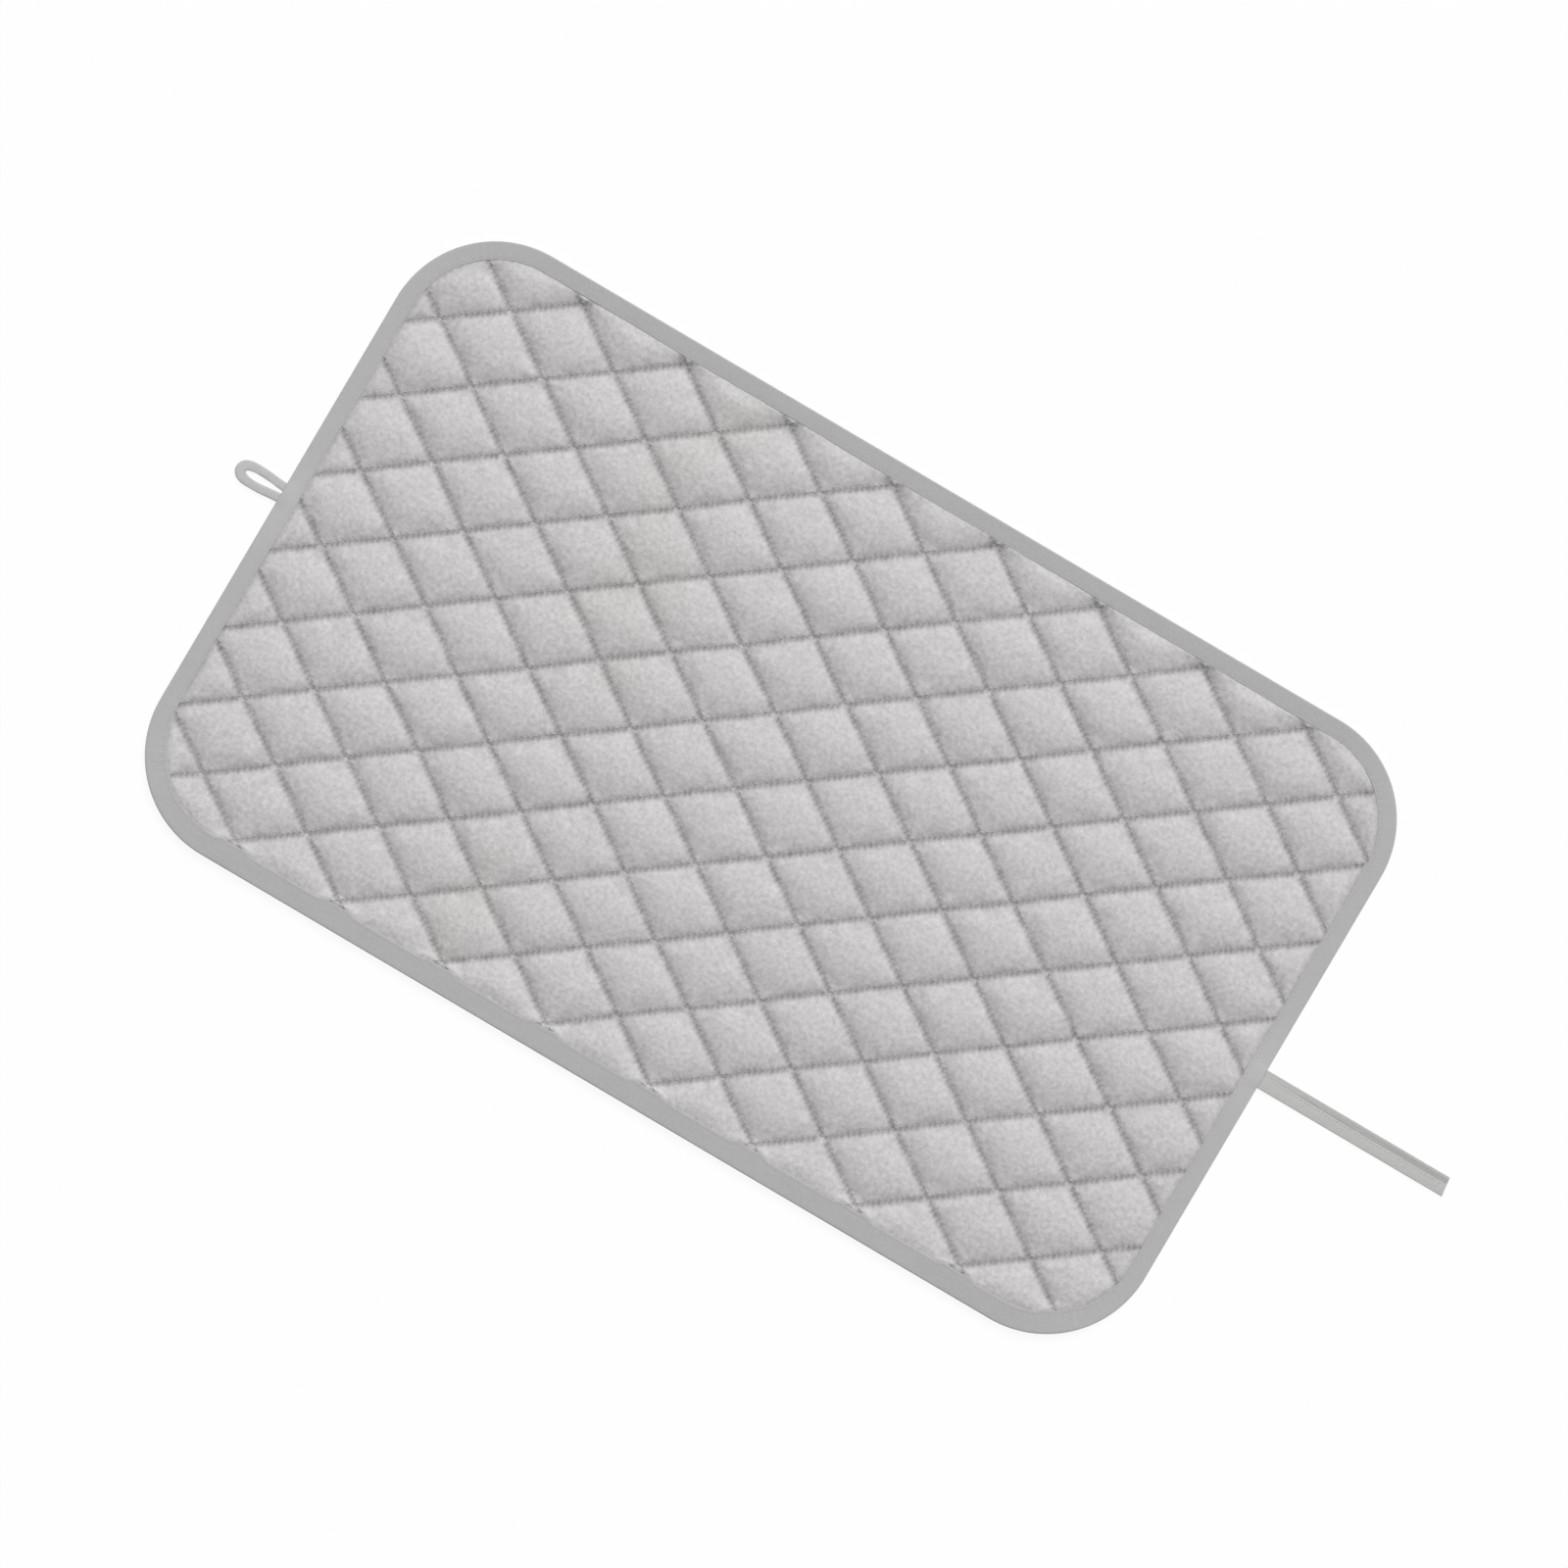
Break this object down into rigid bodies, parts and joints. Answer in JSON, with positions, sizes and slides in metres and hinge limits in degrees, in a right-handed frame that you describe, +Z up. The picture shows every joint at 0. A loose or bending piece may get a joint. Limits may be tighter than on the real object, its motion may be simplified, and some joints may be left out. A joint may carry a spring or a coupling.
{
  "type": "ironing pad",
  "caption": "Flat quilted ironing pad with rounded corners, a bound edge, a cord hanging loop at one end and a tie strap at the other; it is laid on a table to iron on.",
  "frame": {"origin": "under the middle of the pad, on the surface that it lies on", "axes": "+X along the pad's length towards the tie strap, +Y across the pad, +Z up through its thickness"},
  "size_m": [0.8647, 0.425, 0.0065],
  "materials": {
    "silver_cloth": "coated cotton cloth with a dull silver-grey sheen",
    "wadding_fibre": "white polyester wadding",
    "grey_felt": "grey needle felt",
    "quilt_thread": "matt grey sewing thread",
    "binding_tape": "plain woven grey tape",
    "binding_thread": "matt grey sewing thread",
    "loop_cloth": "plain woven grey cloth over a soft cord",
    "strap_tape": "plain woven grey tape"
  },
  "bodies": {
    "pad": {"top_cover": "silver_cloth", "wadding": "wadding_fibre", "felt_backing": "grey_felt", "edge_binding": "binding_tape", "binding_needle_thread": "binding_thread", "binding_bobbin_thread": "binding_thread", "quilt_thread_falling_01": "quilt_thread", "quilt_thread_falling_02": "quilt_thread", "quilt_thread_falling_03": "quilt_thread", "quilt_thread_falling_04": "quilt_thread", "quilt_thread_falling_05": "quilt_thread", "quilt_thread_falling_06": "quilt_thread", "quilt_thread_falling_07": "quilt_thread", "quilt_thread_falling_08": "quilt_thread", "quilt_thread_falling_09": "quilt_thread", "quilt_thread_falling_10": "quilt_thread", "quilt_thread_falling_11": "quilt_thread", "quilt_thread_falling_12": "quilt_thread", "quilt_thread_falling_13": "quilt_thread", "quilt_thread_falling_14": "quilt_thread", "quilt_thread_falling_15": "quilt_thread", "quilt_thread_falling_16": "quilt_thread", "quilt_thread_rising_01": "quilt_thread", "quilt_thread_rising_02": "quilt_thread", "quilt_thread_rising_03": "quilt_thread", "quilt_thread_rising_04": "quilt_thread", "quilt_thread_rising_05": "quilt_thread", "quilt_thread_rising_06": "quilt_thread", "quilt_thread_rising_07": "quilt_thread", "quilt_thread_rising_08": "quilt_thread", "quilt_thread_rising_09": "quilt_thread", "quilt_thread_rising_10": "quilt_thread", "quilt_thread_rising_11": "quilt_thread", "quilt_thread_rising_12": "quilt_thread", "quilt_thread_rising_13": "quilt_thread", "quilt_thread_rising_14": "quilt_thread", "quilt_thread_rising_15": "quilt_thread", "quilt_bobbin_net": "quilt_thread", "loop_sewn_ends": "loop_cloth", "strap_sewn_end": "strap_tape"},
    "loop": {"hanging_loop": "loop_cloth"},
    "strap": {"tie_strap": "strap_tape", "strap_edge_thread": "binding_thread"}
  },
  "joints": [
    {"name": "loop_swing", "type": "hinge", "parent": "pad", "child": "loop", "pos_m": [-0.354, 0.0039, 0.0025], "axis": [0, 1, 0], "range_deg": [0, 120]},
    {"name": "strap_swing", "type": "hinge", "parent": "pad", "child": "strap", "pos_m": [0.352, -0.0011, 0.0019], "axis": [0, -1, 0], "range_deg": [0, 120]}
  ]
}
